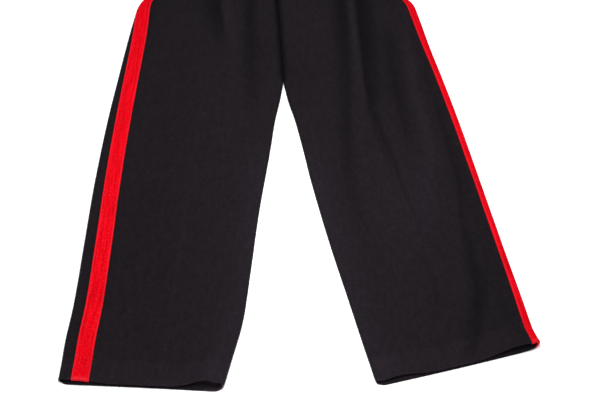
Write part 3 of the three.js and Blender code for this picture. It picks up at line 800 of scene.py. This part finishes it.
def add(tree, kind, inputs=None, **settings):
    """Add a node with its settings; an input takes a value or another node's output."""
    node = tree.nodes.new(kind)
    for name, value in settings.items():
        setattr(node, name, value)
    for key, value in (inputs or {}).items():
        socket = find_socket(node.inputs, key)
        if isinstance(value, bpy.types.NodeSocket):
            tree.links.new(value, socket)
        else:
            socket.default_value = value
    return node


def finish_material(name, build):
    """A material whose build function adds its nodes and gives the shader's inputs."""
    material = bpy.data.materials.new(name)
    material.use_nodes = True
    tree = material.node_tree
    tree.nodes.clear()
    shader = add(tree, "ShaderNodeBsdfPrincipled", build(tree))
    add(tree, "ShaderNodeOutputMaterial", {"Surface": shader.outputs["BSDF"]})
    return material


def flat_millimetres(tree, turn=0.0, stretch=(1, 1, 1)):
    """The cloth's flat place in millimetres, turned and stretched."""
    uv = add(tree, "ShaderNodeUVMap", uv_map="cloth")
    return add(tree, "ShaderNodeMapping", {
        "Vector": uv.outputs["UV"],
        "Rotation": (0, 0, turn),
        "Scale": tuple(s / MM for s in stretch),
    }).outputs["Vector"]


def mottle(tree, place, size, detail, roughness):
    """Random blots about as large as a size, in the units of the place."""
    return add(tree, "ShaderNodeTexNoise", {
        "Vector": place, "Scale": 1 / size, "Detail": detail, "Roughness": roughness,
    })


def carried(tree, value, start, end):
    """A value carried from one range to another and kept within it."""
    return add(tree, "ShaderNodeMapRange", {
        "Value": value, "From Min": start[0], "From Max": start[1], "To Min": end[0], "To Max": end[1],
    }).outputs["Result"]


def worked_out(tree, operation, *values):
    return add(tree, "ShaderNodeMath", dict(enumerate(values)), operation=operation).outputs["Value"]


def blend(tree, share, first, second):
    """Two colours mixed, with the second one's share."""
    mixed = add(tree, "ShaderNodeMix", {
        "Factor_Float": share, "A_Color": first, "B_Color": second,
    }, data_type="RGBA")
    return find_socket(mixed.outputs, "Result_Color")


def dyed(tree, share, dark, light):
    """A colour between two, each given with its place on the scale of the share."""
    ramp = add(tree, "ShaderNodeValToRGB", {"Fac": share})
    for stop, (position, colour) in zip(ramp.color_ramp.elements, (dark, light)):
        stop.position = position
        stop.color = linear(colour)
    return ramp.outputs["Color"]


WAVE_PERIOD = 2 * math.pi / 20  # of a wave texture's bands along X, at scale 1


def black_wool(tree):
    """Black wool barathea, piece-dyed, milled and lightly raised. The eye sees a deep soft
    black with a faint plum cast, a nap that takes the shine off and lightens where the
    cloth turns away, a steep twill close up, and pale specks of lint."""
    place_mm = flat_millimetres(tree)
    # warp: faint streaks along its threads, 0.4 mm apart, drawn 3 mm wide to show
    warp = mottle(tree, flat_millimetres(tree, stretch=(1, 1 / 3, 1)), 6, 4.0, 0.65)
    # weft: slubs across them, drawn 1 to 2 mm wide to show
    weft = mottle(tree, flat_millimetres(tree, stretch=(1 / 3, 1, 1)), 2.4, 3.0, 0.7)
    woven = blend(tree, 0.5, warp.outputs["Color"], weft.outputs["Color"])
    grey = add(tree, "ShaderNodeRGBToBW", {"Color": woven})
    dye = dyed(tree, grey.outputs["Val"], (0.35, "#0c090c"), (0.65, "#171317"))
    # lint: specks 0.5 to 1 mm across, one in each few centimetres
    specks = add(tree, "ShaderNodeTexVoronoi", {"Vector": place_mm, "Scale": 1 / 15})
    chance = add(tree, "ShaderNodeSeparateColor", {"Color": specks.outputs["Color"]})
    reach = carried(tree, chance.outputs["Red"], (0.45, 1.0), (0.0, 0.045))
    speck = worked_out(tree, "LESS_THAN", specks.outputs["Distance"], reach)
    colour = blend(tree, worked_out(tree, "MULTIPLY", speck, 0.3), dye, linear("#5a565c"))
    # painted light and shade: the tone doubles or halves with each unit
    tone_and_painted_light = add(tree, "ShaderNodeAttribute", attribute_name="tone_and_painted_light")
    shaded_tone = add(tree, "ShaderNodeVectorMath", {
        0: colour, "Scale": worked_out(tree, "POWER", 2.0, tone_and_painted_light.outputs["Fac"]),
    }, operation="SCALE")
    # twill: ribs 0.8 mm apart at 63 degrees, drawn 1.6 mm apart to show
    ribs = add(tree, "ShaderNodeTexWave", {
        "Vector": flat_millimetres(tree, turn=math.radians(27)),
        "Scale": WAVE_PERIOD / 1.6, "Distortion": 1.2, "Detail": 2.0, "Detail Scale": 1.5,
    })
    rib_bump = add(tree, "ShaderNodeBump", {
        "Strength": 0.12, "Distance": 0.0003, "Height": ribs.outputs["Fac"],
    })
    nap = mottle(tree, place_mm, 0.9, 4.0, 0.75)
    nap_bump = add(tree, "ShaderNodeBump", {
        "Strength": 0.35, "Distance": 0.0005, "Height": nap.outputs["Fac"],
        "Normal": rib_bump.outputs["Normal"],
    })
    return {
        "Base Color": shaded_tone.outputs["Vector"],
        "Roughness": 0.85,
        "Specular IOR Level": 0.03,
        "Sheen Weight": 0.01,
        "Sheen Roughness": 0.5,
        "Sheen Tint": linear("#a79aa9"),
        "Normal": nap_bump.outputs["Normal"],
    }


def scarlet_facing_cloth(tree):
    """Scarlet wool broadcloth, woven, heavily milled and cropped to a felt-like face, cut in
    a strip with its edges folded under: a flat strong red, streaked along its length where
    it is pressed, paler on the rubbed folds, with a painted highlight along its hem end."""
    streaks = mottle(tree, flat_millimetres(tree, stretch=(1, 1 / 22, 1)), 3.2, 4.0, 0.6)
    dye = dyed(tree, streaks.outputs["Fac"], (0.3, "#900108"), (0.68, "#bb0412"))
    place_mm = flat_millimetres(tree)
    sides = add(tree, "ShaderNodeSeparateXYZ", {"Vector": place_mm})
    from_middle = worked_out(tree, "ABSOLUTE", sides.outputs["X"])
    crest = carried(tree, from_middle, (9.9, 11.0), (0.0, 0.3))
    side = carried(tree, from_middle, (11.5, 12.1), (1.0, 0.0))
    # tufts: raised nap 1 to 2 mm across, paler
    raised = mottle(tree, place_mm, 3.5, 4.0, 0.65)
    tufts = carried(tree, raised.outputs["Fac"], (0.54, 0.74), (0.0, 0.4))
    # the painted highlight along the stripe's hem end
    hem_highlight = add(tree, "ShaderNodeAttribute", attribute_name="tone_and_painted_light")
    edges = worked_out(tree, "MAXIMUM", worked_out(tree, "MULTIPLY", crest, side), hem_highlight.outputs["Fac"])
    nap = mottle(tree, place_mm, 0.8, 4.0, 0.7)
    bump = add(tree, "ShaderNodeBump", {"Strength": 0.3, "Distance": 0.0004, "Height": nap.outputs["Fac"]})
    return {
        "Base Color": blend(tree, worked_out(tree, "MAXIMUM", edges, tufts), dye, linear("#d4333f")),
        "Roughness": 0.9,
        "Specular IOR Level": 0.005,
        "Sheen Weight": 0.005,
        "Sheen Roughness": 0.45,
        "Sheen Tint": linear("#ff6a70"),
        "Normal": bump.outputs["Normal"],
    }


def thread(dark, light):
    """Mercerised cotton sewing thread, twisted of three plies: a soft gloss with slanting
    shadows between the plies, 0.4 mm apart."""
    def build(tree):
        where = add(tree, "ShaderNodeTexCoord")
        plies = add(tree, "ShaderNodeTexWave", {
            "Vector": where.outputs["Object"], "Scale": WAVE_PERIOD / (0.4 * MM), "Distortion": 0.5,
        }, bands_direction="DIAGONAL")
        # the ramp paints the shadows between the plies into the thread's colour
        dye = dyed(tree, plies.outputs["Fac"], (0.0, dark), (1.0, light))
        return {"Base Color": dye, "Roughness": 0.7, "Specular IOR Level": 0.06}
    return build


def black_button(tree):
    """Urea-moulded trouser button: near-black, dull from the mould with a tumbled, slightly
    polished rim and faint cloudy mottling."""
    where = add(tree, "ShaderNodeTexCoord")
    clouds = add(tree, "ShaderNodeTexNoise", {
        "Vector": where.outputs["Object"], "Scale": 260.0, "Detail": 3.0,
    }).outputs["Fac"]
    return {
        "Base Color": dyed(tree, clouds, (0.35, "#0c0b0b"), (0.7, "#151213")),
        "Roughness": carried(tree, clouds, (0.3, 0.7), (0.45, 0.6)),
        "Specular IOR Level": 0.2,
    }


def studio_floor(tree):
    """Matt white seamless paper, with the faint mottle of its fibres."""
    where = add(tree, "ShaderNodeTexCoord")
    fibres = add(tree, "ShaderNodeTexNoise", {
        "Vector": where.outputs["Object"], "Scale": 900.0, "Detail": 2.0,
    })
    tone = dyed(tree, fibres.outputs["Fac"], (0.0, "#f3f3f3"), (1.0, "#f9f9f9"))
    return {"Base Color": tone, "Roughness": 0.95}


WOOL = finish_material("black_wool_barathea", black_wool)
SCARLET = finish_material("scarlet_facing_cloth", scarlet_facing_cloth)
BLACK_THREAD = finish_material("black_sewing_thread", thread("#050405", "#0d0b0d"))
SCARLET_THREAD = finish_material("scarlet_sewing_thread", thread("#7e030c", "#b0050f"))
BUTTON_BLACK = finish_material("black_moulded_button", black_button)
PAPER = finish_material("white_seamless_paper", studio_floor)


def light_the_room():
    world = bpy.data.worlds.new("white_room")
    world.use_nodes = True
    background = world.node_tree.nodes["Background"]
    background.inputs["Color"].default_value = linear("#ffffff")
    background.inputs["Strength"].default_value = 0.85
    bpy.context.scene.world = world


def add_floor():
    half = 5.0
    mesh = bpy.data.meshes.new("floor")
    corners = [(-half, -half, 0), (half, -half, 0), (half, half, 0), (-half, half, 0)]
    mesh.from_pydata(corners, [], [(0, 1, 2, 3)])
    mesh.materials.append(PAPER)
    floor = place("floor", mesh)


light_the_room()
add_floor()


# ---------------------------------------------------------------- stitches

def stitch_tree():
    """Stitches along every edge line of a mesh: its inputs are their pitch, length and
    thread, in metres, and how far they wander."""
    tree = bpy.data.node_groups.new("stitches", "GeometryNodeTree")
    face = tree.interface
    face.new_socket("Geometry", in_out="INPUT", socket_type="NodeSocketGeometry")
    for name, default in (("Pitch", 0.003), ("Stitch length", 0.0024), ("Thread", 0.0005), ("Wander", 0.05)):
        face.new_socket(name, in_out="INPUT", socket_type="NodeSocketFloat").default_value = default
    face.new_socket("Seed", in_out="INPUT", socket_type="NodeSocketInt").default_value = 5
    face.new_socket("Material", in_out="INPUT", socket_type="NodeSocketMaterial")
    face.new_socket("Geometry", in_out="OUTPUT", socket_type="NodeSocketGeometry")
    given = add(tree, "NodeGroupInput").outputs
    line = add(tree, "GeometryNodeMeshToCurve", {"Mesh": given["Geometry"]})
    spaced = add(tree, "GeometryNodeResampleCurve", {
        "Curve": line.outputs["Curve"], "Length": given["Pitch"],
    }, mode="LENGTH")
    tangent = add(tree, "GeometryNodeInputTangent")
    turn = add(tree, "FunctionNodeAlignRotationToVector", {"Vector": tangent.outputs["Tangent"]}, axis="X")
    negative = add(tree, "ShaderNodeMath", {0: given["Wander"], 1: -1.0}, operation="MULTIPLY")
    wander = add(tree, "FunctionNodeRandomValue", {
        "Min_001": negative.outputs["Value"], "Max_001": given["Wander"], "Seed": given["Seed"],
    }, data_type="FLOAT")
    angles = add(tree, "ShaderNodeCombineXYZ", {"Z": find_socket(wander.outputs, "Value_001")})
    turned = add(tree, "FunctionNodeRotateRotation", {
        "Rotation": turn.outputs["Rotation"], "Rotate By": angles.outputs["Vector"],
    })
    bead = add(tree, "GeometryNodeMeshUVSphere", {"Segments": 6, "Rings": 4, "Radius": 0.5})
    sizes = add(tree, "ShaderNodeCombineXYZ", {
        "X": given["Stitch length"], "Y": given["Thread"], "Z": given["Thread"],
    })
    stitch = add(tree, "GeometryNodeTransform", {
        "Geometry": bead.outputs["Mesh"], "Scale": sizes.outputs["Vector"],
    })
    smooth = add(tree, "GeometryNodeSetShadeSmooth", {"Geometry": stitch.outputs["Geometry"]})
    row = add(tree, "GeometryNodeInstanceOnPoints", {
        "Points": spaced.outputs["Curve"], "Instance": smooth.outputs["Geometry"],
        "Rotation": turned.outputs["Rotation"],
    })
    real = add(tree, "GeometryNodeRealizeInstances", {"Geometry": row.outputs["Instances"]})
    coloured = add(tree, "GeometryNodeSetMaterial", {
        "Geometry": real.outputs["Geometry"], "Material": given["Material"],
    })
    add(tree, "NodeGroupOutput", {"Geometry": coloured.outputs["Geometry"]})
    return tree


STITCHES = stitch_tree()


def sew(name, paths, material, pitch, length, thick, wander=0.05, seed=5):
    """Stitches along paths of points, made a plain mesh."""
    points, edges = [], []
    for path in paths:
        start = len(points)
        points.extend(path)
        edges.extend((start + i, start + i + 1) for i in range(len(path) - 1))
    mesh = bpy.data.meshes.new(f"{name}_path")
    mesh.from_pydata([tuple(p) for p in points], edges, [])
    guide = place(f"{name}_path", mesh)
    modifier = guide.modifiers.new("stitches", "NODES")
    modifier.node_group = STITCHES
    values = {
        "Pitch": pitch * MM, "Stitch length": length * MM, "Thread": thick * MM,
        "Wander": wander, "Seed": seed, "Material": material,
    }
    for item in STITCHES.interface.items_tree:
        if item.in_out == "INPUT" and item.name in values:
            modifier[item.identifier] = values[item.name]
    evaluated = guide.evaluated_get(bpy.context.evaluated_depsgraph_get())
    sewn = bpy.data.meshes.new_from_object(evaluated)
    sewn.name = name
    bpy.data.objects.remove(guide)
    return place(name, sewn)


def stripe_stitches(leg):
    """Both edges of the stripe, sewn through its folded edge 1.8 mm in."""
    out = STRIPE.gap + STRIPE.wall - 0.1
    cuts = [section(leg, y) for y in np.linspace(leg.hem.inner + 2, BAND.seam - 1, 330)]
    paths = [
        [on_section(cut, np.array([cut.outseam + side * STRIPE_STITCH]), out)[0] for cut in cuts]
        for side in (-1, 1)
    ]
    return sew(f"stripe_stitches_{leg.name}", paths, SCARLET_THREAD, pitch=3.2, length=2.5, thick=0.5)


def on_face(cut, distance, out):
    """A point on the upper layer's face, at a distance from the row's inner end."""
    on_top = ~cut.below
    place_round = np.interp(-distance, -cut.distance[on_top], cut.arc[on_top])
    return on_section(cut, np.array([place_round]), out)[0]


def fly_stitches():
    """The line that holds the fly's facing: straight down, then curving in to the seam."""
    path = []
    top = BAND.seam - 1
    for t in np.linspace(0, 1, 70):
        curving_in = rise((t - 0.72) / 0.3) ** 1.4
        cut = section(LEFT_LEG, top - t * (top - FLY.bottom))
        path.append(on_face(cut, FLY.width * (1 - curving_in) + 2, 0.05))
    return sew("fly_stitches", [path], BLACK_THREAD, pitch=3.0, length=2.3, thick=0.45)


def buttonhole():
    """Satin stitches, side by side, round a slit that the button has passed through."""
    hole = BUTTONHOLE
    middle = (BAND.seam + BAND.top) / 2
    bars = []
    for side in (-1, 1):
        for x in np.arange(hole.x - hole.half_length, hole.x + hole.half_length, hole.pitch):
            ends = (middle + side * hole.slit, middle + side * hole.half_width)
            bars.append([on_face(section(LEFT_LEG, y, BAND.overlap), x, hole.out) for y in ends])
    return sew("buttonhole_stitches", bars, BLACK_THREAD, pitch=4.0, length=2.2, thick=0.6, wander=0.02)


# ---------------------------------------------------------------- the trousers


def hand_over(piece, node):
    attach(piece, "root")
    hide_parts(node)


def finish_leg(leg):
    back = back_panel(leg, WOOL)
    hand_over(back, f"back_{leg.name}")
    front = front_panel(leg, WOOL)
    hand_over(front, f"front_{leg.name}")
    band = waistband(leg, WOOL)
    hand_over(band, f"waistband_{leg.name}")
    stripe = side_stripe(leg, SCARLET)
    hand_over(stripe, f"side_stripe_{leg.name}")
    stitches = stripe_stitches(leg)
    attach(stitches, "root")


for leg in LEGS:
    finish_leg(leg)

underlap = fly_underlap(WOOL)
hand_over(underlap, "fly_underlap")

for piece in (fly_stitches(), buttonhole()):
    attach(piece, "root")

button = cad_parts["waist_button"]
button.data.materials.clear()
button.data.materials.append(BUTTON_BLACK)
